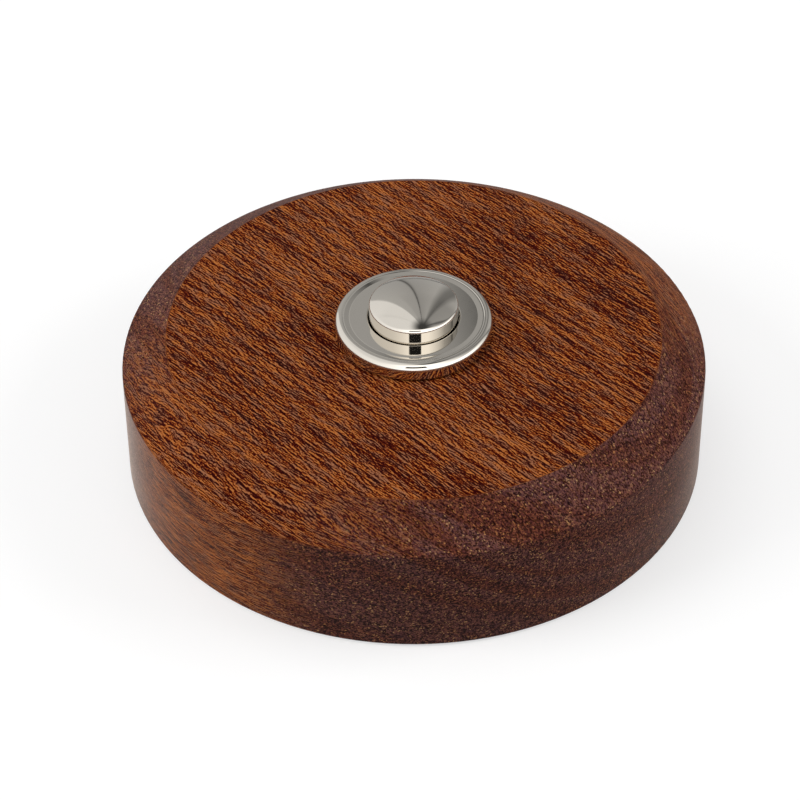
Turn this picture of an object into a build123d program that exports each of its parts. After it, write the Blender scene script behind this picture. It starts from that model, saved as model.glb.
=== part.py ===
from build123d import *
from math import asin, cos, degrees, radians
import os

# Round wooden doorbell push: a turned hardwood disc that carries a nickel-plated push switch.
# Millimetres. +Z points out of the front along the button's axis, the origin is at the centre of
# the flat back, and on a wall +Y is up.

# Turned wooden disc
disc_d = 80.0
disc_h = 20.5
chamfer_w = 6.2  # how far the sloping rim reaches in from the side
chamfer_h = 4.4  # how far it drops from the front face
arris_r = 0.4  # sanded rounding where the slope meets the front and the side
base_chamfer = 0.4  # broken edge round the back
web_t = 6.5  # wood left between the front face and the rear recess
recess_d = 40.0
barrel_fit = 0.1  # clearance all round the switch barrel

# Keyhole slots in the back, for two wall screws
screw_head_d = 8.5
screw_shank_d = 5.0
keyhole_slide = 7.0
keyhole_lip = 3.5
keyhole_depth = 8.0

# Push button, a domed brass plunger
button_d = 12.2
button_stand = 2.2  # height above the bezel's face where the side would meet the dome
dome_rise = 1.55
button_edge_r = 0.6
shoulder_ledge = 0.9  # how far the hidden shoulder stands out past the side
shoulder_t = 1.2
travel = 1.5
stop_gap = 0.05  # between the shoulder and its stop, at rest
button_gap = 0.15  # clearance all round the button in the bezel's mouth
guide_gap = 0.2  # clearance all round the shoulder in the barrel

# Bezel, a flange and a threaded barrel turned in one piece
rim_h = 2.6  # height of its raised rim above the wood
rim_edge_r = 1.2
rim_land = 0.1  # flat left between the rounded edge and the outer turned step
ring_w = 0.85  # from the outer turned step to the inner one
ring_step_w = 0.1  # width of each step
dish_depth = 0.1  # drop of both steps, from the rim to the flat polished face
flange_reach = 1.8  # how far the flange stands out past the barrel
mouth_land = 2.0  # length of the mouth, from the face to the button's stop
mouth_chamfer = 0.2
barrel_wall = 1.4
barrel_show = 2.4  # barrel left below the nut
barrel_chamfer = 0.5
seat_step = 0.4  # shoulder in the barrel that the contact block stops on
lip_t = 0.6  # rear edge of the barrel, rolled in behind the contact block
lip_reach = 0.7

# Seal, washer and nut that clamp the bezel to the wood
seal_t = 0.3
seal_inset = 0.4
seal_fit = 0.2
washer_t = 1.0
washer_fit = 0.2
washer_margin = 0.3
nut_t = 3.0
nut_wall = 2.0
nut_chamfer = 0.8
thread_fit = 0.03

# Insulating stem and the contact disc on its end
stem_d = 6.0
stem_grip = 3.0  # length pressed into the button
stem_fit = 0.02
stem_chamfer = 0.3
spigot_l = 0.8  # length below the contact disc
spigot_gap = 0.35  # between the spigot and the spring
bridge_t = 0.6
bridge_gap = 0.7  # between the contact disc and the cup's wall
bridge_fit = 0.05
contact_gap = 0.05  # left between the contacts at full travel

# Contact block, a moulded cup that fills the rear of the barrel
block_h = 5.0
block_fit = 0.05
cup_wall = 1.35
floor_t = 3.0
well_depth = 2.0
well_land = 0.75  # floor left between the spring well and the contacts

# Return spring
wire_d = 0.45
wire_sides = 8  # the round wire is drawn with this many flats
spring_turns = 4.0
spring_fit = 0.2
spring_end_gap = 0.03

# Two terminals, each a contact rivet, a tab, a screw and a washer
tab_t = 0.8
tab_w = 4.0
tab_gap = 0.25  # between the tabs and the barrel's rolled lip
rivet_to_screw = 4.2
pad_d = 2.8
pad_t = 1.0
pad_chamfer = 0.2
rivet_shank_d = 1.8
rivet_tail_d = 2.2
rivet_tail_t = 0.45
rivet_fit = 0.02
wire_washer_d = 5.6
wire_washer_t = 0.5
terminal_thread_d = 2.9
terminal_fit = 0.1
terminal_grip = 3.0
terminal_head_d = 5.2
terminal_head_h = 2.0
terminal_slot_w = 0.8
terminal_slot_depth = 1.0
terminal_clearance = 0.3  # room left past the end of each screw

# Radii, worked outwards from the button
button_r = button_d / 2
mouth_r = button_r + button_gap
shoulder_r = button_r + shoulder_ledge
bore_r = shoulder_r + guide_gap
seat_r = bore_r + seat_step
lip_r = seat_r - lip_reach
barrel_r = seat_r + barrel_wall
bezel_r = barrel_r + flange_reach
ring_r = bezel_r - rim_edge_r - rim_land
dish_r = ring_r - ring_w
block_r = seat_r - block_fit
cup_r = block_r - cup_wall
bridge_r = cup_r - bridge_gap
nut_flat_r = barrel_r + nut_wall
nut_corner_r = nut_flat_r / cos(radians(30))
washer_r = nut_corner_r + washer_margin
disc_r = disc_d / 2
disc_face_r = disc_r - chamfer_w
recess_r = recess_d / 2
wood_bore_r = barrel_r + barrel_fit
keyhole_x = (recess_r + disc_r) / 2

# The terminals stand on one circle just inside the barrel's lip
terminal_r = lip_r - tab_gap - tab_w / 2
terminal_angle = degrees(asin(rivet_to_screw / 2 / terminal_r))
well_r = terminal_r - pad_d / 2 - well_land
spring_r = well_r - spring_fit - wire_d / 2
spigot_r = spring_r - wire_d / 2 - spigot_gap
stem_r = stem_d / 2

# Heights, worked down from the front and then up from the barrel's rear end
side_h = disc_h - chamfer_h
recess_depth = disc_h - web_t
rim_z = disc_h + rim_h
ring_z = rim_z - dish_depth / 2
face_z = rim_z - dish_depth
flange_z = disc_h + seal_t
stop_z = face_z - mouth_land
shoulder_top = stop_z - stop_gap
shoulder_base = shoulder_top - shoulder_t
head_z = face_z + button_stand
dome_z = head_z + dome_rise
washer_z = recess_depth - washer_t
nut_z = washer_z - nut_t
barrel_z = nut_z - barrel_show
block_z = barrel_z + lip_t
block_top = block_z + block_h
floor_z = block_z + floor_t
well_z = floor_z - well_depth
pad_z = floor_z + pad_t
bridge_z = pad_z + contact_gap + travel
bridge_top = bridge_z + bridge_t
spring_z = well_z + spring_end_gap + wire_d / 2
spring_h = bridge_z - spring_end_gap - wire_d / 2 - spring_z
tab_z = block_z - tab_t
wire_washer_z = tab_z - wire_washer_t
terminal_head_z = wire_washer_z - terminal_head_h
screw_end_z = wire_washer_z + terminal_grip


def keep(piece, name):
    """Labels a finished sub-part and writes it as one STEP file."""
    piece.part.label = name
    export_step(piece.part, f"parts/{name}.step")


def terminal_plane(z, number):
    """Plane at height z whose X axis points at terminal 1 or, half a turn round, at terminal 2."""
    return Plane((0, 0, z), x_dir=(1 if number == 1 else -1, 0, 0), z_dir=(0, 0, 1))


os.makedirs("parts", exist_ok=True)

# Disc: turned outside and bored in one profile, then routed from behind with two keyholes
with BuildPart() as disc:
    with BuildSketch(Plane.XZ) as disc_profile:
        with BuildLine():
            Polyline(
                (recess_r, 0),
                (disc_r, 0),
                (disc_r, side_h),
                (disc_face_r, disc_h),
                (wood_bore_r, disc_h),
                (wood_bore_r, recess_depth),
                (recess_r, recess_depth),
                close=True,
            )
        make_face()
        rim = disc_profile.vertices().group_by(Axis.X)[-1].sort_by(Axis.Y)
        face_corner = disc_profile.vertices().group_by(Axis.Y)[-1].sort_by(Axis.X)[-1]
        fillet([rim[-1], face_corner], arris_r)
        back_corner = disc_profile.vertices().group_by(Axis.Y)[0].sort_by(Axis.X)[-1]
        chamfer(back_corner, base_chamfer)
    revolve(axis=Axis.Z)
    with BuildSketch(Plane.XY):
        with GridLocations(2 * keyhole_x, 0, 2, 1):
            SlotCenterToCenter(keyhole_slide, screw_shank_d, rotation=90)
            with Locations((0, -keyhole_slide / 2)):
                Circle(screw_head_d / 2)
    extrude(amount=keyhole_depth, mode=Mode.SUBTRACT)
    with BuildSketch(Plane.XY.offset(keyhole_lip)):
        with GridLocations(2 * keyhole_x, 0, 2, 1):
            SlotCenterToCenter(keyhole_slide, screw_head_d, rotation=90)
    extrude(amount=keyhole_depth - keyhole_lip, mode=Mode.SUBTRACT)
keep(disc, "wooden_disc")

# Bezel: round-edged flange, barrel with a stop for the button, a seat and a rolled rear lip
with BuildPart() as bezel:
    with BuildSketch(Plane.XZ) as bezel_profile:
        with BuildLine():
            Polyline(
                (mouth_r + mouth_chamfer, face_z),
                (dish_r - ring_step_w, face_z),
                (dish_r, ring_z),
                (ring_r - ring_step_w, ring_z),
                (ring_r, rim_z),
                (bezel_r, rim_z),
                (bezel_r, flange_z),
                (barrel_r, flange_z),
                (barrel_r, barrel_z + barrel_chamfer),
                (barrel_r - barrel_chamfer, barrel_z),
                (lip_r, barrel_z),
                (lip_r, block_z),
                (seat_r, block_z),
                (seat_r, block_top),
                (bore_r, block_top),
                (bore_r, stop_z),
                (mouth_r, stop_z),
                (mouth_r, face_z - mouth_chamfer),
                close=True,
            )
        make_face()
        flange_corner = bezel_profile.vertices().group_by(Axis.X)[-1].sort_by(Axis.Y)[-1]
        fillet(flange_corner, rim_edge_r)
    revolve(axis=Axis.Z)
keep(bezel, "bezel")

# Push button: domed head, straight side, hidden shoulder and a socket for the stem
with BuildPart() as button:
    with BuildSketch(Plane.XZ) as button_profile:
        with BuildLine():
            dome = TangentArc((0, dome_z), (button_r, head_z), tangent=(1, 0))
            Polyline(
                dome @ 1,
                (button_r, shoulder_top),
                (shoulder_r, shoulder_top),
                (shoulder_r, shoulder_base),
                (stem_r + stem_fit, shoulder_base),
                (stem_r + stem_fit, shoulder_base + stem_grip),
                (0, shoulder_base + stem_grip),
                dome @ 0,
            )
        make_face()
        head_corner = button_profile.vertices().group_by(Axis.X)[-2].sort_by(Axis.Y)[-1]
        fillet(head_corner, button_edge_r)
    revolve(axis=Axis.Z)
keep(button, "push_button")

# Stem: insulating pin pressed into the button, with a spigot that centres the contact disc
with BuildPart() as stem:
    with BuildSketch(Plane.XZ):
        with BuildLine():
            Polyline(
                (0, bridge_z - spigot_l),
                (spigot_r, bridge_z - spigot_l),
                (spigot_r, bridge_top),
                (stem_r, bridge_top),
                (stem_r, shoulder_base + stem_grip - stem_chamfer),
                (stem_r - stem_chamfer, shoulder_base + stem_grip),
                (0, shoulder_base + stem_grip),
                close=True,
            )
        make_face()
    revolve(axis=Axis.Z)
keep(stem, "plunger_stem")

# Contact disc: bridges the two contacts when the button is pressed
with BuildPart() as bridge:
    with BuildSketch(Plane.XY.offset(bridge_z)):
        Circle(bridge_r)
        Circle(spigot_r + bridge_fit, mode=Mode.SUBTRACT)
    extrude(amount=bridge_t)
keep(bridge, "contact_bridge")

# Return spring: round wire coiled between the well's floor and the contact disc
with BuildPart() as spring:
    with BuildLine() as coil:
        Helix(pitch=spring_h / spring_turns, height=spring_h, radius=spring_r, center=(0, 0, spring_z))
    with BuildSketch(Plane(coil.line @ 0, z_dir=coil.line % 0)):
        RegularPolygon(wire_d / 2, wire_sides)
    sweep(path=coil.line, is_frenet=True)
keep(spring, "return_spring")

# Contact block: moulded cup with a spring well, rivet holes and blind holes for the screws
with BuildPart() as block:
    with BuildSketch(Plane.XZ):
        with BuildLine():
            Polyline(
                (0, block_z),
                (block_r, block_z),
                (block_r, block_top),
                (cup_r, block_top),
                (cup_r, floor_z),
                (well_r, floor_z),
                (well_r, well_z),
                (0, well_z),
                close=True,
            )
        make_face()
    revolve(axis=Axis.Z)
    with BuildSketch(Plane.XY.offset(block_z)):
        with PolarLocations(terminal_r, 2, start_angle=-terminal_angle):
            Circle(rivet_shank_d / 2 + rivet_fit)
    extrude(amount=floor_t, mode=Mode.SUBTRACT)
    with BuildSketch(Plane.XY.offset(block_z)):
        with PolarLocations(terminal_r, 2, start_angle=terminal_angle):
            Circle(terminal_thread_d / 2 + terminal_fit)
    extrude(amount=screw_end_z + terminal_clearance - block_z, mode=Mode.SUBTRACT)
keep(block, "contact_block")

for number in (1, 2):
    # Contact rivet: rounded pad inside the cup, shank through the floor, tail under the tab
    with BuildPart() as rivet:
        with BuildSketch(terminal_plane(floor_z, number)):
            with PolarLocations(terminal_r, 1, start_angle=-terminal_angle):
                Circle(pad_d / 2)
        extrude(amount=pad_t)
        chamfer(rivet.edges().group_by(Axis.Z)[-1], pad_chamfer)
        with BuildSketch(terminal_plane(tab_z, number)):
            with PolarLocations(terminal_r, 1, start_angle=-terminal_angle):
                Circle(rivet_shank_d / 2)
        extrude(amount=floor_z - tab_z)
        with BuildSketch(terminal_plane(tab_z, number)):
            with PolarLocations(terminal_r, 1, start_angle=-terminal_angle):
                Circle(rivet_tail_d / 2)
        extrude(amount=-rivet_tail_t)
    keep(rivet, f"contact_rivet_{number}")

    # Terminal tab: round-ended strip from the rivet to the screw
    with BuildPart() as tab:
        with BuildSketch(terminal_plane(tab_z, number)):
            with Locations((terminal_r * cos(radians(terminal_angle)), 0)):
                SlotCenterToCenter(rivet_to_screw, tab_w, rotation=90)
            with PolarLocations(terminal_r, 1, start_angle=-terminal_angle):
                Circle(rivet_shank_d / 2 + rivet_fit, mode=Mode.SUBTRACT)
            with PolarLocations(terminal_r, 1, start_angle=terminal_angle):
                Circle(terminal_thread_d / 2 + thread_fit, mode=Mode.SUBTRACT)
        extrude(amount=tab_t)
    keep(tab, f"terminal_tab_{number}")

    # Wire washer under the screw's head
    with BuildPart() as wire_washer:
        with BuildSketch(terminal_plane(wire_washer_z, number)):
            with PolarLocations(terminal_r, 1, start_angle=terminal_angle):
                Circle(wire_washer_d / 2)
                Circle(terminal_thread_d / 2 + terminal_fit, mode=Mode.SUBTRACT)
        extrude(amount=wire_washer_t)
    keep(wire_washer, f"wire_washer_{number}")

    # Slotted terminal screw, driven up into the tab from behind
    with BuildPart() as terminal:
        with BuildSketch(terminal_plane(wire_washer_z, number)):
            with PolarLocations(terminal_r, 1, start_angle=terminal_angle):
                Circle(terminal_head_d / 2)
        extrude(amount=-terminal_head_h)
        with BuildSketch(terminal_plane(wire_washer_z, number)):
            with PolarLocations(terminal_r, 1, start_angle=terminal_angle):
                Circle(terminal_thread_d / 2)
        extrude(amount=terminal_grip)
        with BuildSketch(terminal_plane(terminal_head_z, number)):
            with PolarLocations(terminal_r, 1, start_angle=terminal_angle):
                Rectangle(terminal_slot_w, 2 * terminal_head_d)
        extrude(amount=terminal_slot_depth, mode=Mode.SUBTRACT)
    keep(terminal, f"terminal_screw_{number}")

# Seal between the bezel's flange and the wood
with BuildPart() as seal:
    with BuildSketch(Plane.XY.offset(disc_h)):
        Circle(bezel_r - seal_inset)
        Circle(barrel_r + seal_fit, mode=Mode.SUBTRACT)
    extrude(amount=seal_t)
keep(seal, "seal_ring")

# Plain washer that spreads the nut's load over the floor of the recess
with BuildPart() as washer:
    with BuildSketch(Plane.XY.offset(washer_z)):
        Circle(washer_r)
        Circle(barrel_r + washer_fit, mode=Mode.SUBTRACT)
    extrude(amount=washer_t)
keep(washer, "clamp_washer")

# Hexagon nut, with its corners turned off on both faces
with BuildPart() as nut:
    with BuildSketch(Plane.XY.offset(nut_z)):
        RegularPolygon(nut_flat_r, 6, major_radius=False)
        Circle(barrel_r + thread_fit, mode=Mode.SUBTRACT)
    extrude(amount=nut_t)
    with BuildSketch(Plane.XZ):
        with BuildLine():
            Polyline(
                (0, nut_z),
                (nut_flat_r, nut_z),
                (nut_corner_r, nut_z + nut_chamfer),
                (nut_corner_r, washer_z - nut_chamfer),
                (nut_flat_r, washer_z),
                (0, washer_z),
                close=True,
            )
        make_face()
    revolve(axis=Axis.Z, mode=Mode.INTERSECT)
keep(nut, "clamp_nut")
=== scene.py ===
"""Looks of a round wooden doorbell push: a turned sapele disc with a polished nickel button.

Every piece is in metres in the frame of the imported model: +Z points out of the front along the
button's axis and the origin is at the centre of the flat back. Sizes below are in millimetres.
"""

import logging
from dataclasses import dataclass, field
from enum import Enum
from functools import partial
from math import acos, atan2, cos, pi, radians, sin, sqrt, tan
from typing import NamedTuple

import bmesh
import bpy
import numpy as np
from bpy.types import ID, Material, Mesh, Node, NodeSocket, NodeTree, Object
from mathutils import Matrix, Vector

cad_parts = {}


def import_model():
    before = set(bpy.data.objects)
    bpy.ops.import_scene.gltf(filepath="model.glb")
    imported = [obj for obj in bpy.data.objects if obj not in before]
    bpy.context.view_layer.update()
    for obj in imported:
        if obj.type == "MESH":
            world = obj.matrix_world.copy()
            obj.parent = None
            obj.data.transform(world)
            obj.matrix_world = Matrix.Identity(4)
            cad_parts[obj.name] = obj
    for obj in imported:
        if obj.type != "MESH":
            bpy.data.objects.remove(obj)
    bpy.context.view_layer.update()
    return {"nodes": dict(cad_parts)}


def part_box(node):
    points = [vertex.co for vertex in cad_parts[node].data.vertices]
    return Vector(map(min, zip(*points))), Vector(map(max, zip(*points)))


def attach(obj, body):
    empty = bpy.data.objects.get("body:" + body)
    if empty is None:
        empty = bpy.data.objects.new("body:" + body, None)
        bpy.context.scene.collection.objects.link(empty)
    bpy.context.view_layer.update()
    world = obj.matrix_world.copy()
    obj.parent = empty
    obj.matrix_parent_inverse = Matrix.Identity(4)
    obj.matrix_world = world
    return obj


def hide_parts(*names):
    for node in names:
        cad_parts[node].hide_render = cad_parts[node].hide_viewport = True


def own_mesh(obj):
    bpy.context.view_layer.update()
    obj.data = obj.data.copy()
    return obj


MM = 0.001
SHARP_DEG = 35.0  # edges that turn by more than this stay sharp
LOG = logging.getLogger("bell_push")
EASED = {"interpolation_type": "SMOOTHSTEP"}  # for ranges that start and end softly
COLOURS = {"data_type": "RGBA"}  # for mixes of colours
FLAT = {"noise_dimensions": "2D"}  # for noise on a surface
Pair = tuple[float, float]
Triple = tuple[float, float, float]
Rgba = tuple[float, float, float, float]
Stops = tuple[tuple[float, str], ...]


class Slot(Enum):
    """Names of the material slots."""

    WOOD = "wood"
    NICKEL = "nickel"
    BRASS = "brass"
    STEEL = "steel"
    PHENOLIC = "phenolic"
    RUBBER = "rubber"


class Body(Enum):
    """The bodies that pieces ride on."""

    HOUSING = "housing"
    PLUNGER = "plunger"


def linear(code: str) -> Rgba:
    """Turns an sRGB colour into the linear one that Blender's sockets take.

    Args:
        code: the colour as "#rrggbb".

    Returns:
        Linear red, green and blue with an alpha of one.
    """
    shares = [int(code[i : i + 2], 16) / 255 for i in (1, 3, 5)]
    values = [s / 12.92 if s <= 0.04045 else ((s + 0.055) / 1.055) ** 2.4 for s in shares]
    return (*values, 1.0)


def grey(share: float) -> Rgba:
    """Gives the grey that passes on this share of the light."""
    return (share, share, share, 1.0)


def toned(stops: Stops) -> list[tuple[float, Rgba]]:
    """Turns a ramp's sRGB colours into linear ones, each still at its position."""
    return [(spot, linear(code)) for spot, code in stops]


def rates(size: Pair) -> Triple:
    """Gives the scale of a pattern of that length along the grain and width across it."""
    return (1 / size[0], 1 / size[1], 1 / size[1])


def fill(node: Node, inputs: dict | list) -> None:
    """Fills a node's input sockets.

    Args:
        node: the node.
        inputs: values, other nodes' output sockets, or nodes whose first output is meant: a list in
            the sockets' order, or a dict by their names or numbers.
    """
    named = inputs if isinstance(inputs, dict) else dict(enumerate(inputs))
    for key, value in named.items():
        if isinstance(value, Node):
            value = value.outputs[0]
        if isinstance(value, NodeSocket):
            node.id_data.links.new(value, node.inputs[key])
        else:
            node.inputs[key].default_value = value


def add_node(tree: NodeTree, kind: str, inputs: dict | list = (), operation: str = "", **settings) -> Node:
    """Adds one shader node, sets its properties and fills its sockets.

    Args:
        tree: the node tree that gets it.
        kind: the node's type without the leading "ShaderNode".
        inputs: what its sockets get, as fill takes it.
        operation: what a maths node works out.
        settings: the node's other properties; "stops" is a ramp's list of (position, colour).

    Returns:
        The new node.
    """
    node = tree.nodes.new(f"ShaderNode{kind}")
    if operation:
        node.operation = operation
    stops = settings.pop("stops", None)
    for name, value in settings.items():
        setattr(node, name, value)
    if stops:
        elements = node.color_ramp.elements
        elements.remove(elements[1])
        elements[0].position = stops[0][0]
        for place, _ in stops[1:]:
            elements.new(place)
        for element, (_, colour) in zip(elements, stops):
            element.color = colour
    fill(node, inputs)
    return node


def span(start: float, end: float, low: float = 0.0, high: float = 1.0) -> dict[str, float]:
    """Sets out the limits of a mapped range.

    Args:
        start: the value that gives low.
        end: the value that gives high.
        low: the result at and before start.
        high: the result at and past end.

    Returns:
        The four limits by the names of their sockets.
    """
    return {"From Min": start, "From Max": end, "To Min": low, "To Max": high}


@dataclass(frozen=True)
class Finish:
    """A surface finish that can make its own material."""

    name: str = "plain"

    def material(self) -> Material:
        """Makes the material once and hands out the same one after that.

        Returns:
            The material.
        """
        made = bpy.data.materials.get(self.name)
        if made is None:
            made = bpy.data.materials.new(self.name)
            made.use_nodes = True
            made.node_tree.nodes.clear()
            shader = add_node(made.node_tree, "BsdfPrincipled")
            add_node(made.node_tree, "OutputMaterial", {"Surface": shader})
            self.wire(made.node_tree, shader)
        return made

    def grid(self, tree: NodeTree, size: float = 1.0) -> Node:
        """Gives the object's own coordinates, counted in lengths of size millimetres."""
        place = add_node(tree, "TexCoord").outputs["Object"]
        return add_node(tree, "Mapping", {"Vector": place, "Scale": (1 / (size * MM),) * 3})

    def wire(self, tree: NodeTree, shader: Node) -> None:
        """Adds the finish's own nodes and joins them to the shader."""
        raise NotImplementedError


class Lay(NamedTuple):
    """Nodes that tell how a point lies in the wood."""

    normal: NodeSocket  # the way that the surface faces
    straight: Node  # millimetres, with X along the grain
    waved: Node  # the same, swaying as the tree grew
    rows: Node  # along the grain, and across it over the surface
    level: Node  # one on a flat face and nought on an upright one
    lying: Node  # one where the face lies flatter than it stands
    band: Node  # tone of the growth band, about a half


@dataclass(frozen=True)
class OiledSapele(Finish):
    """Sapele, turned, sanded and oiled.

    Cut along the grain it shows straight rows of thin orange and dark red strands, with greyer patches
    and long dark streaks. Cut across the grain it is a dark mauve brown with golden specks and redder
    bands. The oil leaves it dull, and the sander leaves a grey bloom on the upright sides. The pattern
    is solid, so the rows on the face run on over the edges. Pairs of lengths run along and across the
    grain.
    """

    name: str = "oiled sapele"
    grain_deg: float = -47.0  # where the grain points in plan, from +X
    sway: float = 0.06  # waves of the grain in a millimetre
    sway_size: Triple = (0.0, 1.0, 1.2)  # along, across and up
    crowding: float = 1.4  # how much closer the rows lie on the upright sides
    ripple: float = 0.03  # how far the rows waver
    ripple_rate: Triple = (0.8, 1.4, 1.4)  # wavers in a millimetre
    fibre: Pair = (0.98, 0.53)  # length and spacing of the strands
    thread: Pair = (0.66, 0.35)  # the same of the finer threads between them
    thread_depth: float = 0.85
    waves: float = 0.9  # strands in the reach of one wavelet
    bead: Pair = (0.28, 0.19)  # a fleck in a strand
    grit: float = 0.66
    ring: float = 3.2  # width of a growth band
    pith: Pair = (14.0, 62.0)  # the tree's centre line, across the grain and up
    ribbon: float = 40.0  # length over which a band fades along the grain
    band_depth: float = 0.2
    blotch: Pair = (10.0, 0.5)  # a dark streak
    blotch_depth: float = 0.15
    painted_slope_light: float = 0.035  # painted light: how much lighter the slope and the sides are drawn than the face
    patch: Pair = (2.8, 1.0)  # a greyer patch
    fleck: Pair = (0.3, 0.15)  # a cut fibre, drawn coarser than it is so that it shows
    face_tones: Stops = (
        (0.36, "#290000"), (0.445, "#481002"), (0.515, "#66270c"), (0.585, "#884217"), (0.69, "#ae6a34"),
    )
    grey_tones: Stops = ((0.36, "#210403"), (0.515, "#532415"), (0.69, "#966143"))
    end_tones: Stops = (
        (0.0, "#080304"), (0.3, "#261519"), (0.58, "#533539"), (0.85, "#744a42"), (0.96, "#855e49"),
        (1.0, "#be9868"),
    )
    end_warmth: str = "#f2d2bc"
    bloom: str = "#fbe8dc"
    gloss: float = 0.04
    bump: Pair = (0.3, 0.03)  # strength and depth
    roughness: Pair = (0.56, 0.46)  # of dark and of pale strands
    end_turn: Pair = (0.15, 0.52)  # how far a face turns to the grain where end grain starts and fills it
    end_strands: Pair = (0.04, 0.14)  # share of the strands in end grain, on the sides and the face
    side_warmth: float = 0.4  # least warmth of end grain on the sides
    nap: Pair = (1.05, 1.45)  # least and most bloom on the sides
    face_nap: float = 0.02
    nap_roughness: float = 0.3

    def wire(self, tree: NodeTree, shader: Node) -> None:
        """Joins the strands, the end grain and the bloom to the shader.

        Args:
            tree: the material's node tree.
            shader: its shader.
        """
        add = partial(add_node, tree)
        lay = self.lay_out(tree)
        tone = self.strand_tone(tree, lay)
        # The strands are orange in most places and a greyer brown in patches
        warm = add("ValToRGB", [tone], stops=toned(self.face_tones))
        cool = add("ValToRGB", [tone], stops=toned(self.grey_tones))
        place = add("Mapping", {"Vector": lay.rows, "Scale": rates(self.patch)})
        patch = add("TexNoise", {"Vector": place, "Scale": 1.0, "Detail": 1.5}, **FLAT)
        share = add("MapRange", {"Value": patch, **span(0.4, 0.68)}, **EASED)
        face = add("Mix", {0: share, 6: warm, 7: cool}, **COLOURS).outputs[2]
        # Each cut fibre of the end grain draws its own tone
        place = add("Mapping", {"Vector": lay.straight, "Scale": rates(self.fleck)})
        flecks = add("TexVoronoi", {"Vector": place, "Scale": 1.0}, feature="F1")
        draw = add("SeparateColor", [flecks.outputs["Color"]]).outputs["Green"]
        colour = self.cut_colour(tree, lay, face, draw)
        rough = add("MapRange", {"Value": tone, **span(0.35, 0.6, *self.roughness)})
        strength, depth = self.bump
        bump = add("Bump", {"Height": tone, "Strength": strength, "Distance": depth * MM})
        # The upright sides are left finely fuzzy by the sander
        nap = add("MapRange", {"Value": draw, **span(0.0, 1.0, *self.nap)})
        fuzz = add("MapRange", {"Value": lay.level, **span(0.2, 0.6, high=self.face_nap), "To Min": nap})
        fill(shader, {"Base Color": colour, "Roughness": rough, "Normal": bump, "Sheen Weight": fuzz,
                      "Specular IOR Level": self.gloss, "Sheen Roughness": self.nap_roughness,
                      "Sheen Tint": linear(self.bloom)})

    def lay_out(self, tree: NodeTree) -> Lay:
        """Turns the object's coordinates into the grain's.

        Strands lie in rows along the grain, counted across it on the face and upwards on the sides. On
        a slope turned round Z, a line that follows the grain keeps radius * sine ** (normal z squared),
        where the sine is that of the angle in plan from the grain.

        Args:
            tree: the material's node tree.

        Returns:
            The nodes that tell how a point lies in the wood.
        """
        add = partial(add_node, tree)
        place = add("TexCoord")
        facing = place.outputs["Normal"]
        turn = (0, 0, -radians(self.grain_deg))
        turned = {"Vector": place.outputs["Object"], "Rotation": turn, "Scale": (1 / MM,) * 3}
        straight = add("Mapping", turned)
        sway = add("TexNoise", {"Vector": straight, "Scale": self.sway, "Detail": 1.0})
        swing = add("VectorMath", [sway.outputs["Color"], (0.5, 0.5, 0.5)], "SUBTRACT")
        waved = add("VectorMath", [swing, self.sway_size, straight], "MULTIPLY_ADD")
        parts = add("SeparateXYZ", [waved])
        normal = add("SeparateXYZ", [facing])
        level = add("Math", [normal.outputs["Z"]], "ABSOLUTE")
        lying = add("Math", [level, 0.5], "GREATER_THAN")
        plan = add("VectorMath", [waved, (1.0, 1.0, 0.0)], "MULTIPLY")
        reach = add("VectorMath", [plan], "LENGTH").outputs["Value"]
        aside = add("Math", [parts.outputs["Y"]], "ABSOLUTE")
        sine = add("Math", [aside, reach], "DIVIDE")
        tilt = add("Math", [level, level], "MULTIPLY")
        bent = add("Math", [sine, tilt], "POWER")
        wide = add("Math", [reach, level], "DIVIDE")
        size = add("Math", [bent, wide], "MULTIPLY")
        side = add("Math", [parts.outputs["Y"]], "SIGN")
        laid = add("Math", [size, side], "MULTIPLY")
        stacked = add("Math", [parts.outputs["Z"], self.crowding], "MULTIPLY")
        across = add("Mix", {0: lying, 2: stacked, 3: laid})
        waver = add("Mapping", {"Vector": straight, "Scale": self.ripple_rate})
        ripple = add("TexNoise", {"Vector": waver, "Scale": 1.0, "Detail": 1.0})
        wavy = add("Math", [ripple, self.ripple, across], "MULTIPLY_ADD")
        rows = add("CombineXYZ", [parts.outputs["X"], wavy])
        # Growth bands lie round the pith and fade along the grain
        outward = add("VectorMath", [waved, (0.0, *self.pith)], "SUBTRACT")
        flat = add("VectorMath", [outward, (0.0, 1.0, 1.0)], "MULTIPLY")
        age = add("VectorMath", [flat], "LENGTH").outputs["Value"]
        far = add("Math", [parts.outputs["X"], self.ring / self.ribbon], "MULTIPLY")
        ringed = add("CombineXYZ", [far, age])
        band = add("TexNoise", {"Vector": ringed, "Scale": 1 / self.ring, "Detail": 2.0}, **FLAT)
        return Lay(facing, straight, waved, rows, level, lying, band)

    def strand_tone(self, tree: NodeTree, lay: Lay) -> Node:
        """Adds up the strands, the threads, the flecks in them, the bands and the streaks, and lightens
        the slope and the sides with painted light.

        Args:
            tree: the material's node tree.
            lay: how a point lies in the wood.

        Returns:
            The node with the tone, dark below a half and pale above it.
        """
        add = partial(add_node, tree)
        layers = []
        for size in (self.fibre, self.thread):
            place = add("Mapping", {"Vector": lay.rows, "Scale": rates(size)})
            # Socket 4 turns the wavelets, so that their waves count across the rows
            wavelets = {"Vector": place, "Scale": 1 / self.waves, "Frequency": self.waves, 4: pi / 2}
            layers.append(add("TexGabor", wavelets))
        beads = add("Mapping", {"Vector": lay.rows, "Scale": rates(self.bead)})
        grit = add("TexNoise", {"Vector": beads, "Scale": 1.0, "Detail": 1.5}, **FLAT)
        both = add("Math", [layers[1], self.thread_depth, layers[0]], "MULTIPLY_ADD")
        fibres = add("Math", [grit, self.grit, both], "MULTIPLY_ADD")
        banded = add("Math", [lay.band, self.band_depth, fibres], "MULTIPLY_ADD")
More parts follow.
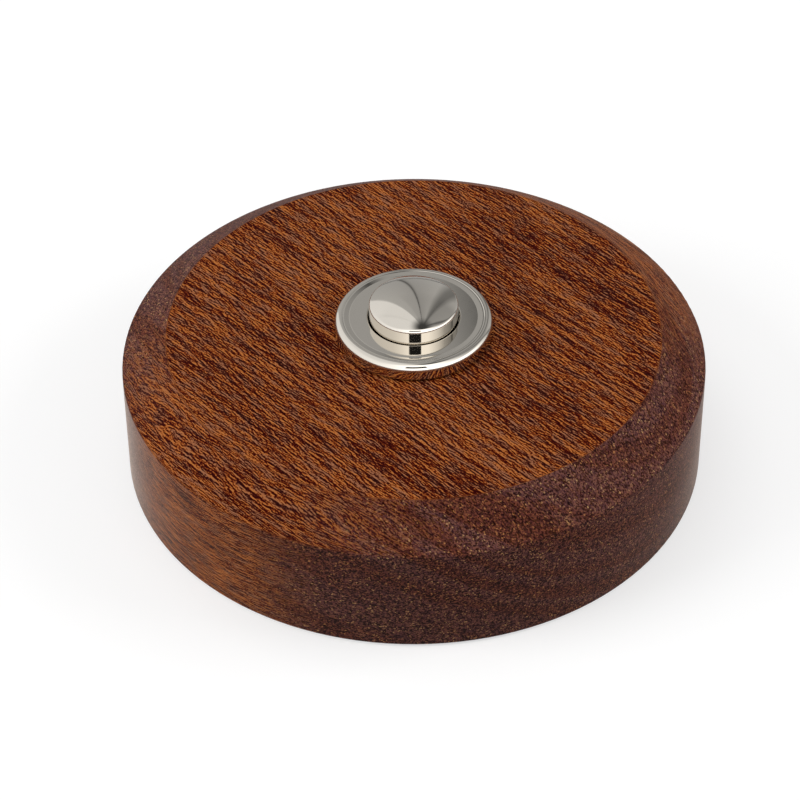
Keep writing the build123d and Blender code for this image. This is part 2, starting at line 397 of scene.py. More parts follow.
        # Streaks darken long runs of rows
        place = add("Mapping", {"Vector": lay.waved, "Scale": rates(self.blotch)})
        blotch = add("TexNoise", {"Vector": place, "Scale": 1.0, "Detail": 2.0})
        middle = 0.5 * (self.band_depth + self.grit + self.thread_depth)
        limits = span(0.3, 0.7, middle - self.blotch_depth, middle + self.blotch_depth)
        streak = add("MapRange", {"Value": blotch, **limits})
        plain = add("Math", [banded, streak], "SUBTRACT")
        # Painted light: the slope and the sides are drawn a little lighter than the face
        lift = add("MapRange", {"Value": lay.level, **span(0.6, 1.0, self.painted_slope_light, 0.0)})
        return add("Math", [plain, lift], "ADD")

    def cut_colour(self, tree: NodeTree, lay: Lay, face: NodeSocket, draw: NodeSocket) -> NodeSocket:
        """Puts end grain where the surface turns towards the grain's own direction.

        Args:
            tree: the material's node tree.
            lay: how a point lies in the wood.
            face: the colour of wood cut along the grain.
            draw: each cut fibre's own number.

        Returns:
            The socket with the wood's colour however it is cut.
        """
        add = partial(add_node, tree)
        grain = (cos(radians(self.grain_deg)), sin(radians(self.grain_deg)), 0.0)
        towards = add("VectorMath", [lay.normal, grain], "DOT_PRODUCT")
        ends = add("Math", [towards.outputs["Value"]], "ABSOLUTE")
        end_share = add("MapRange", {"Value": ends, **span(*self.end_turn)}, **EASED)
        cut = add("ValToRGB", [draw], stops=toned(self.end_tones))
        # Some growth bands are mauve and some are redder, and the upright sides are redder throughout
        least = add("MapRange", {"Value": lay.lying, **span(0.0, 1.0, self.side_warmth, 0.0)})
        warmth = add("MapRange", {"Value": lay.band, **span(0.4, 0.58, low=1.0), "To Max": least}, **EASED)
        redder = {0: warmth, 6: cut, 7: linear(self.end_warmth)}
        banded = add("Mix", redder, blend_type="MULTIPLY", **COLOURS)
        drawn = add("MapRange", {"Value": lay.lying, **span(0.0, 1.0, *self.end_strands)})
        shaded = add("Mix", {0: drawn, 6: banded.outputs[2], 7: face}, **COLOURS)
        return add("Mix", {0: end_share, 6: face, 7: shaded.outputs[2]}, **COLOURS).outputs[2]


@dataclass(frozen=True)
class PolishedNickel(Finish):
    """Nickel plate over brass, turned and buffed: a warm mirror with a trace of the buffing left."""

    name: str = "polished nickel"
    colour: str = "#d9d3c9"
    haze: float = 0.9  # size of a cloud of buffing haze
    roughness: float = 0.035
    roughness_spread: float = 0.025

    def wire(self, tree: NodeTree, shader: Node) -> None:
        """Joins a faint cloud of buffing haze to the mirror's roughness.

        Args:
            tree: the material's node tree.
            shader: its shader.
        """
        clouds = {"Vector": self.grid(tree, self.haze), "Scale": 1.0, "Detail": 3.0}
        cloud = add_node(tree, "TexNoise", clouds)
        limits = span(0.35, 0.65, self.roughness, self.roughness + self.roughness_spread)
        rough = add_node(tree, "MapRange", {"Value": cloud, **limits}, **EASED)
        fill(shader, {"Roughness": rough, "Base Color": linear(self.colour), "Metallic": 1.0})


@dataclass(frozen=True)
class MachinedMetal(Finish):
    """Bare metal as it leaves the lathe or press: fine tool lines and a patchy film of tarnish."""

    bright: str = "#c8a35a"
    dull: str = "#8d6a35"
    line: float = 0.22  # spacing of the tool lines, coarser than the real one so that they show
    patch: float = 1.6
    roughness: float = 0.26
    roughness_spread: float = 0.2

    def wire(self, tree: NodeTree, shader: Node) -> None:
        """Joins the patches to the colour and the tool lines to the bump.

        Args:
            tree: the material's node tree.
            shader: its shader.
        """
        add = partial(add_node, tree)
        grid = self.grid(tree)
        patches = add("TexNoise", {"Vector": grid, "Scale": 1 / self.patch, "Detail": 4.0})
        share = add("MapRange", {"Value": patches, **span(0.4, 0.68)}, **EASED)
        colour = add("Mix", {0: share, 6: linear(self.bright), 7: linear(self.dull)}, **COLOURS)
        # A wave's bands repeat every pi / 10 of its scaled length
        waves = {"Vector": grid, "Scale": pi / 10 / self.line, "Distortion": 0.6}
        lines = add("TexWave", waves, wave_type="RINGS", rings_direction="Z").outputs["Fac"]
        limits = span(0.35, 0.7, self.roughness, self.roughness + self.roughness_spread)
        rough = add("MapRange", {"Value": patches, **limits}, **EASED)
        bump = add("Bump", {"Height": lines, "Strength": 0.12, "Distance": 0.02 * MM})
        fill(shader, {"Base Color": colour.outputs[2], "Roughness": rough, "Normal": bump,
                      "Metallic": 1.0})


@dataclass(frozen=True)
class DullMoulding(Finish):
    """Moulded plastic or cut rubber: dark, with a fine sparked texture from the mould."""

    dark: str = "#171310"
    pale: str = "#2a241f"
    grit: float = 0.25  # grain of the texture, coarser than the real one so that it shows
    roughness: float = 0.5

    def wire(self, tree: NodeTree, shader: Node) -> None:
        """Joins the mould's texture to colour, roughness and bump.

        Args:
            tree: the material's node tree.
            shader: its shader.
        """
        add = partial(add_node, tree)
        specks = {"Vector": self.grid(tree, self.grit), "Scale": 1.0, "Detail": 3.0}
        grain = add("TexNoise", specks)
        colour = add("Mix", {0: grain, 6: linear(self.dark), 7: linear(self.pale)}, **COLOURS)
        limits = span(0.3, 0.7, self.roughness - 0.06, self.roughness + 0.08)
        rough = add("MapRange", {"Value": grain, **limits}, **EASED)
        bump = add("Bump", {"Height": grain, "Strength": 0.3, "Distance": 0.02 * MM})
        fill(shader, {"Base Color": colour.outputs[2], "Roughness": rough, "Normal": bump})


SAPELE = OiledSapele()
NICKEL = PolishedNickel()
# Golden, browned in patches by handling
BRASS = MachinedMetal(name="turned brass")
# A cool, slightly milky grey
ZINCED = MachinedMetal(name="zinc plated steel", bright="#c3c4c2", dull="#97999a", roughness=0.3)
# Darker than the plate, with the smaller patches of a drawn wire
SPRING_STEEL = MachinedMetal(name="drawn spring steel", bright="#b4b3ae", dull="#85837e", patch=0.8,
                             roughness=0.24)
# A brownish black with a low shine
PHENOLIC = DullMoulding(name="moulded phenolic")
# A flat neutral black
RUBBER = DullMoulding(name="cut sheet rubber", dark="#121212", pale="#1f1f1f", grit=0.18, roughness=0.72)


def rounded_outline(corners: list[Triple], steps: int = 10) -> np.ndarray:
    """Rounds the inner corners of an open outline with tangent arcs.

    At a corner of turn t, an arc of radius q starts q * tan(t / 2) before the corner, and its points
    are the centre plus q times a direction that swings evenly from one side's normal to the other's.
    A support point just outside each end keeps flat stretches flat under smooth shading.

    Args:
        corners: (radius, height, rounding) of each corner in turn, in millimetres.
        steps: spans in each arc.

    Returns:
        The outline's points as rows of radius and height.
    """
    points = np.array([c[:2] for c in corners], float)
    support = 0.02
    swing = np.linspace(0.0, 1.0, steps + 1)[:, None]
    last = len(corners) - 1
    runs = []
    for i, (point, size) in enumerate(zip(points, (c[2] for c in corners))):
        if size == 0 or i in (0, last):
            runs.append(point[None, :])
            continue
        before, after = points[i - 1] - point, points[i + 1] - point
        before, after = before / np.linalg.norm(before), after / np.linalg.norm(after)
        half = acos(float(np.clip(before @ after, -1, 1))) / 2
        reach = size / tan(half)
        bisector = (before + after) / np.linalg.norm(before + after)
        centre = point + bisector * size / sin(half)
        start, end = point + before * reach - centre, point + after * reach - centre
        gap = acos(float(np.clip(start @ end / size**2, -1, 1)))
        arc = centre + (np.sin((1 - swing) * gap) * start + np.sin(swing * gap) * end) / sin(gap)
        held = reach + support
        runs.append(np.vstack([point + before * held, arc, point + after * held]))
    return np.vstack(runs)


def spun_mesh(name: str, outline: np.ndarray, closed: bool, around: int,
              thread: np.ndarray | None = None, pitch: float = 1.0) -> Mesh:
    """Spins an outline round the Z axis.

    The point at outline row i and turn a is (r cos a, r sin a, z). Where a thread depth is given, r
    falls by that depth times a triangle wave of z / pitch - a / 2 pi, which makes a right-hand thread.

    Args:
        name: the mesh's name.
        outline: rows of radius and height in millimetres.
        closed: whether the outline's last row joins its first.
        around: columns in the grid.
        thread: depth of thread at each row, in millimetres.
        pitch: the thread's pitch in millimetres.

    Returns:
        The mesh, in metres, with its doubles merged and its faces pointing outwards.
    """
    turn = np.linspace(0.0, 2 * pi, around, endpoint=False)[None, :]
    radius = np.repeat(outline[:, :1], around, axis=1)
    height = np.repeat(outline[:, 1:], around, axis=1)
    if thread is not None:
        phase = (height / pitch - turn / (2 * pi)) % 1.0
        radius = radius - thread[:, None] * np.abs(2 * phase - 1)
    grid = np.stack([radius * np.cos(turn), radius * np.sin(turn), height], axis=-1) * MM
    return grid_mesh(name, grid, wrap_rows=closed)


def grid_mesh(name: str, grid: np.ndarray, wrap_rows: bool) -> Mesh:
    """Puts a grid of points into a mesh, with its columns joined into rings.

    Args:
        name: the mesh's name.
        grid: points as rows, columns and x, y, z in metres.
        wrap_rows: whether the last row joins the first.

    Returns:
        The mesh, smooth-shaded, merged at its poles and with its faces pointing outwards.
    """
    rows, columns = grid.shape[:2]
    number = np.arange(rows * columns).reshape(rows, columns)
    upper = number if wrap_rows else number[:-1]
    lower = np.roll(number, -1, axis=0) if wrap_rows else number[1:]
    corners = [upper, np.roll(upper, -1, 1), np.roll(lower, -1, 1), lower]
    quads = np.stack(corners, axis=-1).reshape(-1, 4)
    mesh = bpy.data.meshes.new(name)
    mesh.from_pydata(grid.reshape(-1, 3).tolist(), [], quads.tolist())
    tidy = bmesh.new()
    tidy.from_mesh(mesh)
    bmesh.ops.remove_doubles(tidy, verts=tidy.verts, dist=1e-7)
    bmesh.ops.recalc_face_normals(tidy, faces=tidy.faces)
    tidy.to_mesh(mesh)
    tidy.free()
    mesh.shade_smooth()
    mesh.set_sharp_from_angle(angle=radians(SHARP_DEG))
    return mesh


def merged_copy(node: Object, name: str, flat_deg: float = 0.5, sharp_deg: float = SHARP_DEG) -> Object:
    """Copies a CAD node into one joined mesh with smooth curved faces.

    Args:
        node: the CAD node's object.
        name: the copy's name.
        flat_deg: triangles that meet at less than this are joined into one flat face.
        sharp_deg: edges that turn by more than this stay sharp.

    Returns:
        The copy, linked into the scene.
    """
    mesh = node.data.copy()
    mesh.name = name
    tidy = bmesh.new()
    tidy.from_mesh(mesh)
    bmesh.ops.remove_doubles(tidy, verts=tidy.verts, dist=1e-6)
    bmesh.ops.dissolve_limit(tidy, angle_limit=radians(flat_deg), verts=tidy.verts, edges=tidy.edges)
    tidy.to_mesh(mesh)
    tidy.free()
    if mesh.has_custom_normals:
        mesh.attributes.remove(mesh.attributes["custom_normal"])
    mesh.shade_smooth()
    mesh.set_sharp_from_angle(angle=radians(sharp_deg))
    return linked(mesh)


def linked(data: ID) -> Object:
    """Makes an object and links it into the scene.

    Args:
        data: its mesh, light or camera, whose name it takes.

    Returns:
        The object.
    """
    piece = bpy.data.objects.new(data.name, data)
    bpy.context.scene.collection.objects.link(piece)
    return piece


def dress(piece: Object, finish: Finish, body: Body, node: str) -> None:
    """Gives a piece its finish, ties it to its body and hides the CAD node that it stands for.

    Args:
        piece: the new piece.
        finish: the finish of its whole surface.
        body: the body that it rides on.
        node: the CAD node that it replaces.
    """
    piece.data.materials.clear()
    piece.data.materials.append(finish.material())
    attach(piece, body.value)
    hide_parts(node)
    LOG.info("%s: %d faces, %s, on %s", piece.name, len(piece.data.polygons), finish.name, body.value)


def soften(piece: Object, width: float, segments: int = 2) -> None:
    """Rounds a piece's sharp edges with a live Bevel modifier.

    Args:
        piece: the piece.
        width: the bevel's width in millimetres.
        segments: its number of strips.
    """
    bevel = piece.modifiers.new("worn edges", "BEVEL")
    bevel.width = width * MM
    bevel.segments = segments
    bevel.limit_method = "ANGLE"
    bevel.angle_limit = radians(SHARP_DEG)


@dataclass
class WoodenDisc:
    """The turned disc with its wiring recess and keyholes."""

    flat_deg: float = 0.05
    sharp_deg: float = 32.0

    def build(self, nodes: dict[str, Object]) -> None:
        """Makes the disc from its CAD node, shaded smooth.

        Args:
            nodes: the frame's CAD nodes by name.
        """
        disc = merged_copy(nodes["wooden_disc"], "turned_disc", self.flat_deg, self.sharp_deg)
        dress(disc, SAPELE, Body.HOUSING, "wooden_disc")


@dataclass
class NickelPush:
    """The nickel bezel with its threaded barrel, and the domed button that slides in it."""

    around: int = 240
    button_r: float = 6.1
    button_edge: float = 0.6
    dome_rows: int = 40
    edge_rows: int = 16
    edge_gap: float = 0.05  # between the rounded edge and the outline below it
    dome_rise: float = 1.55
    shoulder_t: float = 1.2
    shoulder_edge: float = 0.12
    socket_r: float = 3.02
    socket_depth: float = 3.0
    small_edge: float = 0.1
    mouth_gap: float = 0.15
    mouth_edge: float = 0.2
    mouth_land: float = 2.0
    face_drop: float = 0.04
    rim_edge: float = 1.0
    rim_land: float = 0.18
    rim_drop: float = 0.02
    ring_w: float = 0.8
    groove_w: float = 0.1
    groove_d: float = 0.02
    groove_edge: float = 0.04
    line_edge: float = 0.03
    ring_slope_w: float = 0.6
    flange_reach: float = 1.8
    flange_t: float = 2.3
    barrel_chamfer: float = 0.5
    lip_t: float = 0.6
    lip_r: float = 6.9
    lip_edge: float = 0.15
    root_edge: float = 0.05
    seat_r: float = 7.6
    seat_h: float = 5.0
    bore_r: float = 7.2
    thread_pitch: float = 1.0
    thread_depth: float = 0.5
    thread_shown: float = 3.4
    thread_steps: int = 16  # rows for each turn of the thread
    thread_gap: float = 0.1  # on each side of the thread's rows
    seam: Pair = (0.3, 0.5)  # where the outline's ends lie above the button's stop

    def button_outline(self, low: Vector, high: Vector) -> np.ndarray:
        """Works out the button's outline, from its top down the outside and back up the socket.

        The dome is an arc through the top whose corner with the side would lie dome_rise lower. Its
        edge is an arc that touches both: its centre lies button_edge in from the side and from the
        dome.

        Args:
            low: lowest corner of the CAD button, in millimetres.
            high: its highest corner.

        Returns:
            Rows of radius and height in millimetres.
        """
        top, base, shoulder_r = high.z, low.z, high.x
        dome_r = (self.button_r**2 + self.dome_rise**2) / (2 * self.dome_rise)
        centre_z = top - dome_r
        inset = self.button_r - self.button_edge
        edge_z = centre_z + sqrt((dome_r - self.button_edge) ** 2 - inset**2)
        lean = atan2(edge_z - centre_z, inset)
        sweep = np.linspace(pi / 2, lean, self.dome_rows)
        dome = np.stack([dome_r * np.cos(sweep), centre_z + dome_r * np.sin(sweep)], axis=1)
        dome[0, 0] = 0.0
        bend = np.linspace(lean, 0.0, self.edge_rows)[1:]
        edge_r = inset + self.button_edge * np.cos(bend)
        edge = np.stack([edge_r, edge_z + self.button_edge * np.sin(bend)], axis=1)
        shoulder_top = base + self.shoulder_t
        below = [
            (self.button_r, edge_z - self.edge_gap, 0),
            (self.button_r, shoulder_top, self.small_edge),
            (shoulder_r, shoulder_top, self.shoulder_edge),
            (shoulder_r, base, self.shoulder_edge),
            (self.socket_r, base, self.small_edge),
            (self.socket_r, base + self.socket_depth, 0),
            (0.0, base + self.socket_depth, 0),
        ]
        below = rounded_outline(below, steps=6)
        return np.vstack([dome, edge, below])

    def bezel_outline(self, low: Vector, high: Vector) -> tuple[np.ndarray, np.ndarray]:
        """Works out the bezel's closed outline and the depth of thread at each of its rows.

        The outline runs from the mouth over the lined face and the rounded rim, down the barrel, whose
        radius tapers over its end chamfer, and back up the stepped bore.

        Args:
            low: lowest corner of the CAD bezel, in millimetres.
            high: its highest corner.

        Returns:
            Rows of radius and height in millimetres, and a thread depth for each row.
        """
        rim_r, rim_z, rear_z = high.x, high.z, low.z
        face_z = rim_z - self.face_drop
        ring_z = rim_z - self.rim_drop
        flange_z = rim_z - self.flange_t
        barrel_r = rim_r - self.flange_reach
        mouth_r = self.button_r + self.mouth_gap
        ring_r = rim_r - self.rim_edge - self.rim_land
        dish_r = ring_r - self.ring_w
        seat_z = rear_z + self.lip_t
        seat_top = seat_z + self.seat_h
        stop_z = face_z - self.mouth_land
        front = [
            (mouth_r, stop_z + self.seam[1], 0),
            (mouth_r, face_z, self.mouth_edge),
            (dish_r - self.groove_w, face_z, self.groove_edge),
            (dish_r, face_z - self.groove_d, self.groove_edge),
            (dish_r + self.ring_slope_w, ring_z, self.small_edge),
            (ring_r - self.groove_w, ring_z, self.groove_edge),
            (ring_r, ring_z - self.groove_d, self.line_edge),
            (ring_r + 0.8 * self.groove_w, rim_z, self.line_edge),
            (rim_r, rim_z, self.rim_edge),
            (rim_r, flange_z, self.small_edge),
            (barrel_r, flange_z, self.root_edge),
            (barrel_r, rear_z + self.thread_shown + self.thread_gap, 0),
        ]
        front = rounded_outline(front, steps=18)
        rows = int(self.thread_shown / self.thread_pitch * self.thread_steps)
        barrel_z = np.linspace(rear_z + self.thread_shown, rear_z, rows)
        taper = np.clip((barrel_z - rear_z) / self.barrel_chamfer, 0, 1)
        barrel = np.stack([barrel_r - self.barrel_chamfer * (1 - taper), barrel_z], axis=1)
        inside = [
            (barrel_r - self.barrel_chamfer - self.thread_gap, rear_z, 0),
            (self.lip_r, rear_z, self.lip_edge),
            (self.lip_r, seat_z, 0),
            (self.seat_r, seat_z, 0),
            (self.seat_r, seat_top, 0),
            (self.bore_r, seat_top, self.root_edge),
            (self.bore_r, stop_z, 0),
            (mouth_r, stop_z, self.small_edge),
            (mouth_r, stop_z + self.seam[0], 0),
        ]
        inside = rounded_outline(inside, steps=6)
        fade = np.clip((rear_z + self.thread_shown - barrel_z) / self.thread_pitch, 0, 1)
        depths = [np.zeros(len(front)), self.thread_depth * fade * taper, np.zeros(len(inside))]
        return np.vstack([front, barrel, inside]), np.concatenate(depths)

    def build(self) -> None:
        """Spins the bezel and the button and dresses them in nickel."""
        low, high = (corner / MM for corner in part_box("bezel"))
        outline, depth = self.bezel_outline(low, high)
        bezel = linked(spun_mesh("nickel_bezel", outline, True, self.around, depth, self.thread_pitch))
        dress(bezel, NICKEL, Body.HOUSING, "bezel")
        low, high = (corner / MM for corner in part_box("push_button"))
        button = linked(spun_mesh("domed_button", self.button_outline(low, high), False, self.around))
        dress(button, NICKEL, Body.PLUNGER, "push_button")


@dataclass
class SwitchWorks:
    """The stem, contacts, spring and terminals inside the barrel."""

    edge: float = 0.08
    wire_d: float = 0.45
    spring_turns: float = 4.0
    closed_turns: float = 0.9  # turns at each end that lie against the next
    closed_climb: float = 1.02  # climb of such a turn, in thicknesses of the wire
    opening: float = 9.0  # how fast the turns open after them
    ring: int = 14  # points round the wire
    spring_rows: int = 220
    travel: float = 1.5
    finishes: dict[str, tuple[Finish, Slot, Body]] = field(default_factory=lambda: {
        "plunger_stem": (PHENOLIC, Slot.PHENOLIC, Body.PLUNGER),
        "contact_bridge": (BRASS, Slot.BRASS, Body.PLUNGER),
        "contact_block": (PHENOLIC, Slot.PHENOLIC, Body.HOUSING),
    })
    terminal_nodes: tuple[str, ...] = ("contact_rivet", "terminal_tab", "wire_washer", "terminal_screw")

    def spring_mesh(self, low: Vector, high: Vector) -> Mesh:
        """Carries the wire's circle along the coil.

        The coil's axis point climbs with the turn by a share that eases in and out, so that the end
        turns lie close together as on a wound spring. The wire's circle lies in the plane of the
        radius and Z, which is close to square across so flat a helix.

        Args:
            low: lowest corner of the CAD spring, in millimetres.
            high: its highest corner.

        Returns:
            The spring's mesh, capped at both ends.
        """
        wire_r = self.wire_d / 2
        coil_r = (high.x - low.x) / 2 - wire_r
        share = np.linspace(0.0, 1.0, self.spring_rows)
        turn = 2 * pi * self.spring_turns * share[:, None]
        # Near each end the climb is about one wire a turn; the middle takes up what is left
        turns_in = np.minimum(share, 1 - share) * self.spring_turns
        spread = 1 / (1 + np.exp(-self.opening * (turns_in - self.closed_turns)))
        close = self.closed_climb * self.wire_d * self.spring_turns
        room = high.z - low.z - self.wire_d
        climb = np.cumsum(close + (room - close) * spread / spread.mean())
        height = low.z + wire_r + room * (climb - climb[0]) / (climb[-1] - climb[0])
        round_wire = np.linspace(0.0, 2 * pi, self.ring, endpoint=False)[None, :]
        thin = np.ones(self.spring_rows)
        thin[[0, -1]] = 0.0
        reach = coil_r + wire_r * thin[:, None] * np.cos(round_wire)
        rise = height[:, None] + wire_r * thin[:, None] * np.sin(round_wire)
        grid = np.stack([reach * np.cos(turn), reach * np.sin(turn), rise], axis=-1) * MM
        return grid_mesh("coil_spring", grid, wrap_rows=False)

    def build(self, nodes: dict[str, Object]) -> None:
        """Dresses the works and winds the spring.

        Args:
            nodes: the frame's CAD nodes by name.
        """
        chosen = dict(self.finishes)
        brass = (BRASS, Slot.BRASS, Body.HOUSING)
        for number in (1, 2):
            chosen.update({f"{kind}_{number}": brass for kind in self.terminal_nodes})
        for node, (finish, slot, body) in chosen.items():
            piece = merged_copy(nodes[node], f"{node}_dressed")
            soften(piece, self.edge)
            dress(piece, finish, body, node)
        low, high = (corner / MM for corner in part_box("return_spring"))
        spring = linked(self.spring_mesh(low, high))
        dress(spring, SPRING_STEEL, Body.HOUSING, "return_spring")
        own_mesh(spring)


@dataclass
class ClampFixings:
    """The seal, washer and nut that hold the bezel in the wood."""

    edge: float = 0.12
    finishes: dict[str, tuple[Finish, Slot]] = field(default_factory=lambda: {
        "seal_ring": (RUBBER, Slot.RUBBER),
        "clamp_washer": (ZINCED, Slot.STEEL),
        "clamp_nut": (BRASS, Slot.BRASS),
    })

    def build(self, nodes: dict[str, Object]) -> None:
        """Dresses the three fixings.

        Args:
            nodes: the frame's CAD nodes by name.
        """
        for node, (finish, slot) in self.finishes.items():
            piece = merged_copy(nodes[node], f"{node}_dressed")
            soften(piece, self.edge)
            dress(piece, finish, Body.HOUSING, node)


class Lamp(NamedTuple):
    """A soft square lamp that faces the object."""

    name: str
    place: Triple
    side: float
    watts: float


@dataclass
class Studio:
    """A pale floor in a white light tent, with soft lamps and the camera."""

    elevation: float = 41.27
    roll: float = 0.459
    distance: float = 419.4
    focal_px: float = 2974.9
    picture_px: float = 800.0
    sensor: float = 36.0
    aim: Pair = (1.991, -5.862)  # how far the axis lies right of and above the aim
    floor_r: float = 2500.0
    floor_mid_r: float = 250.0
    floor_open_r: float = 39.6  # hidden by the disc
    floor_around: int = 96
    floor_colour: str = "#b8b8b8"
    floor_lift: float = 0.55  # white that the camera sees in the floor near the object
    floor_far_lift: float = 0.86  # the same far off, where less light falls
    floor_fade: Pair = (150.0, 700.0)  # where the one turns into the other
    lamps: tuple[Lamp, ...] = (
        Lamp("overhead softbox", (-150, 60, 650), 500, 1.2),
        Lamp("left softbox", (-600, -150, 350), 400, 2.6),
        Lamp("right softbox", (600, 0, 350), 400, 2.2),
    )
    sky: float = 0.36
    tent_strength: float = 2.0
    # The tent's walls by compass angle in degrees, 0 behind the object and 90 to its right, with
    # each wall's share of the tent's full brightness
    walls: tuple[Pair, ...] = (
        (-180, 0.9), (-150, 0.9), (-120, 0.55), (-90, 0.47), (-62, 0.47), (-58, 0.43), (-54, 0.46),
        (-35, 0.46), (-33.6, 0.26), (-24, 0.25), (-20, 0.22), (-8, 0.21), (-6.3, 0.18), (-5.6, 0.03),
        (-4.8, 0.03), (-4.1, 0.18), (12, 0.22), (20, 0.1), (24, 0.08), (30, 0.17), (52, 0.19),
        (57, 0.07), (60, 0.07), (66, 0.17), (95, 0.3), (120, 0.6), (150, 0.9), (180, 0.9),
    )
    # The same walls lower down, where the right and the front are brighter
    low_walls: tuple[Pair, ...] = (
        (-180, 1.0), (-150, 0.75), (-120, 0.6), (-90, 0.55), (-45, 0.48), (-34.8, 0.47), (-33.4, 0.27),
        (-8, 0.21), (-6.3, 0.19), (-5.6, 0.05), (-4.8, 0.05), (-4.1, 0.19), (13, 0.24), (19, 0.11),
        (24, 0.1), (31, 0.23), (51, 0.28), (56, 0.13), (59, 0.13), (65, 0.36), (72, 0.5), (90, 0.85),
        (110, 1.0), (180, 1.0),
    )
    low_end: Pair = (30.0, 48.0)  # where the low walls turn into the others
    apex: Pair = (74.0, 87.0)  # where the walls run into the tent's dark top
    apex_share: float = 0.03
    port: Pair = (15.6, 11.0)  # half width and half height of the camera's dark port
    port_blur: float = 1.0
    port_share: float = 0.01
    port_turn: float = 3.2  # how far the port lies to the right of the camera
    under_share: float = 0.25  # the plain grey below the floor
    lean: float = 9.7  # how far the tent's top leans to the right

    def camera(self) -> None:
        """Sets the camera where the photograph was taken from."""
        tilt, roll = radians(self.elevation), radians(self.roll)
        right = Vector((1, 0, 0))
        up = Vector((0, sin(tilt), cos(tilt)))
        back = Vector((0, -cos(tilt), sin(tilt)))
        rolled_right = right * cos(roll) - up * sin(roll)
        rolled_up = right * sin(roll) + up * cos(roll)
        data = bpy.data.cameras.new("camera")
        data.sensor_width = self.sensor
        data.lens = self.focal_px * self.sensor / self.picture_px
        data.clip_start = 0.01
        data.clip_end = 20.0
        camera = linked(data)
        turned = Matrix((rolled_right, rolled_up, back)).transposed().to_4x4()
        place = back * self.distance - rolled_right * self.aim[0] - rolled_up * self.aim[1]
        camera.matrix_world = Matrix.Translation(place * MM) @ turned
        bpy.context.scene.camera = camera

    def floor(self) -> None:
        """Lays a round pale floor, open under the object, that can be seen through from below."""
        rings = np.array([[self.floor_open_r, 0.0], [self.floor_mid_r, 0.0], [self.floor_r, 0.0]])
        floor = linked(spun_mesh("floor", rings, False, self.floor_around))
        if floor.data.polygons[0].normal.z < 0:
            floor.data.flip_normals()
        material = bpy.data.materials.new("pale paper")
        material.use_nodes = True
        tree = material.node_tree
        tree.nodes.clear()
        add = partial(add_node, tree)
        camera_ray = add("LightPath").outputs["Is Camera Ray"]
        below = add("NewGeometry").outputs["Backfacing"]
        place = add("TexCoord").outputs["Object"]
        away = add("VectorMath", [place], "LENGTH").outputs["Value"]
        near, far = self.floor_fade
        fade = span(near * MM, far * MM, self.floor_lift, self.floor_far_lift)
        white = add("MapRange", {"Value": away, **fade}, **EASED)
        seen = add("Math", [camera_ray, white], "MULTIPLY")
        paper = add("BsdfDiffuse", {"Color": linear(self.floor_colour)})
        lift = add("Emission", {"Strength": seen})
        lit = add("AddShader", [paper, lift])
        both = add("MixShader", [below, lit, add("BsdfTransparent")])
        add("OutputMaterial", {"Surface": both})
        floor.data.materials.append(material)

    def tent(self) -> None:
        """Sets the world: white to the camera, a plain sky to the floor and wood, walls to the metal."""
        world = bpy.data.worlds.new("light tent")
        bpy.context.scene.world = world
        world.use_nodes = True
        tree = world.node_tree
        tree.nodes.clear()
        add = partial(add_node, tree)
        way = add("TexCoord").outputs["Generated"]
        leaned = add("Mapping", {"Vector": way, "Rotation": (0.0, -radians(self.lean), 0.0)})
        parts = add("SeparateXYZ", [leaned])
        compass = add("Math", [parts.outputs["X"], parts.outputs["Y"]], "ARCTAN2")
        share = add("MapRange", {"Value": compass, **span(-pi, pi)})
        ramps = []
        for walls in (self.low_walls, self.walls):
            stops = [((angle + 180) / 360, grey(light)) for angle, light in walls]
            ramps.append(add("ValToRGB", [share], stops=stops))
        rise = add("Math", [parts.outputs["Z"]], "ARCSINE")
        high = add("MapRange", {"Value": rise, **span(*map(radians, self.low_end))}, **EASED)
        sides = add("Mix", {0: high, 6: ramps[0], 7: ramps[1]}, **COLOURS)
        # The tent's top is gathered into dark folds
        top = add("MapRange", {"Value": rise, **span(*map(radians, self.apex))}, **EASED)
        tented = add("Mix", {0: top, 6: sides.outputs[2], 7: grey(self.apex_share)}, **COLOURS)
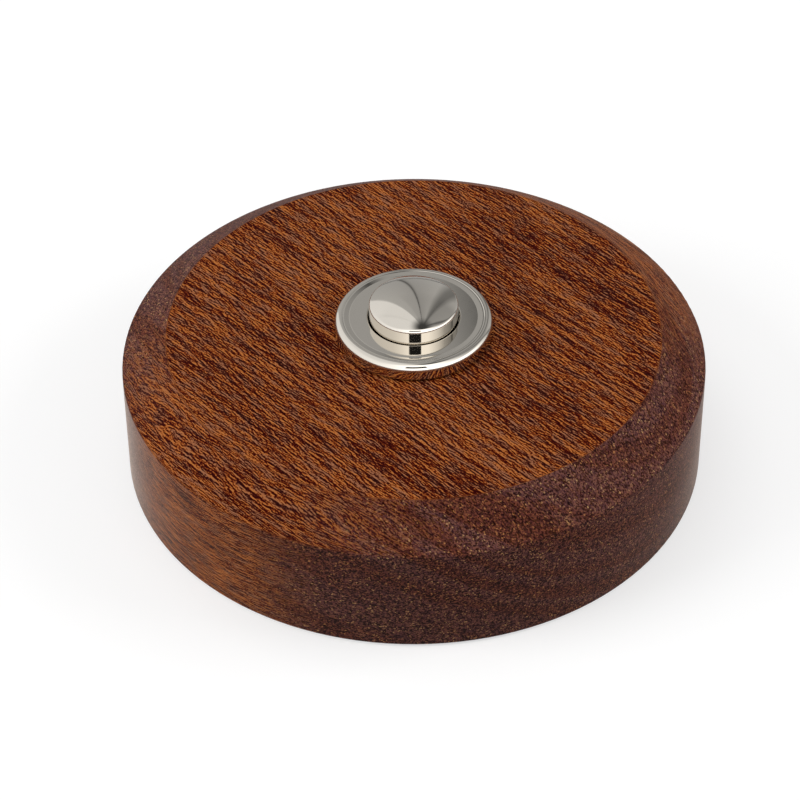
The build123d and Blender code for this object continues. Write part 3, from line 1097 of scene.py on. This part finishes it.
        # The camera's port is a dark oblong in the tent's front wall
        aimed = add("SeparateXYZ", [way])
        front = add("Math", [aimed.outputs["Y"], -1.0], "MULTIPLY")
        bearing = add("Math", [aimed.outputs["X"], front], "ARCTAN2")
        pitch = add("Math", [aimed.outputs["Z"]], "ARCSINE")
        outside = []
        for angle, middle, half in zip((bearing, pitch), (self.port_turn, self.elevation), self.port):
            off = add("Math", [angle, radians(middle)], "SUBTRACT")
            apart = add("Math", [off], "ABSOLUTE")
            limits = span(radians(half - self.port_blur), radians(half + self.port_blur))
            outside.append(add("MapRange", {"Value": apart, **limits}, **EASED))
        beside = add("Math", [outside[0], outside[1]], "MAXIMUM")
        walled = add("Mix", {0: beside, 6: grey(self.port_share), 7: tented.outputs[2]}, **COLOURS)
        # Below the floor there is only a plain grey
        upper = add("MapRange", {"Value": aimed.outputs["Z"], **span(-0.1, 0.0)})
        seen = add("Mix", {0: upper, 6: grey(self.under_share), 7: walled.outputs[2]}, **COLOURS)
        rays = add("LightPath").outputs
        shiny = add("Background", {"Color": seen.outputs[2], "Strength": self.tent_strength})
        plain = add("Background", {"Color": grey(1.0), "Strength": self.sky})
        white = add("Background", {"Color": grey(1.0), "Strength": 1.0})
        lit = add("MixShader", [rays["Is Glossy Ray"], plain, shiny])
        clear = add("Math", [rays["Is Camera Ray"], rays["Is Transmission Ray"]], "MAXIMUM")
        whole = add("MixShader", [clear, lit, white])
        add("OutputWorld", {"Surface": whole})

    def hang(self, lamp: Lamp) -> None:
        """Hangs a lamp so that it faces the object and stays out of mirrors.

        Args:
            lamp: its name, place, side and power, in millimetres and watts.
        """
        data = bpy.data.lights.new(lamp.name, "AREA")
        data.shape = "SQUARE"
        data.size = lamp.side * MM
        data.energy = lamp.watts
        hung = linked(data)
        hung.location = Vector(lamp.place) * MM
        hung.rotation_mode = "QUATERNION"
        hung.rotation_quaternion = (-hung.location).to_track_quat("-Z", "Y")
        hung.visible_glossy = False

    def build(self) -> None:
        """Sets up the whole studio."""
        bpy.context.scene.view_settings.view_transform = "Standard"
        self.camera()
        self.floor()
        self.tent()
        for lamp in self.lamps:
            self.hang(lamp)


def main() -> None:
    """Builds the bell push piece by piece, then the studio."""
    logging.basicConfig(level=logging.INFO, format="%(name)s: %(message)s")
    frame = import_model()
    WoodenDisc().build(frame["nodes"])
    NickelPush().build()
    SwitchWorks().build(frame["nodes"])
    ClampFixings().build(frame["nodes"])
    Studio().build()


if __name__ == "__main__":
    main()
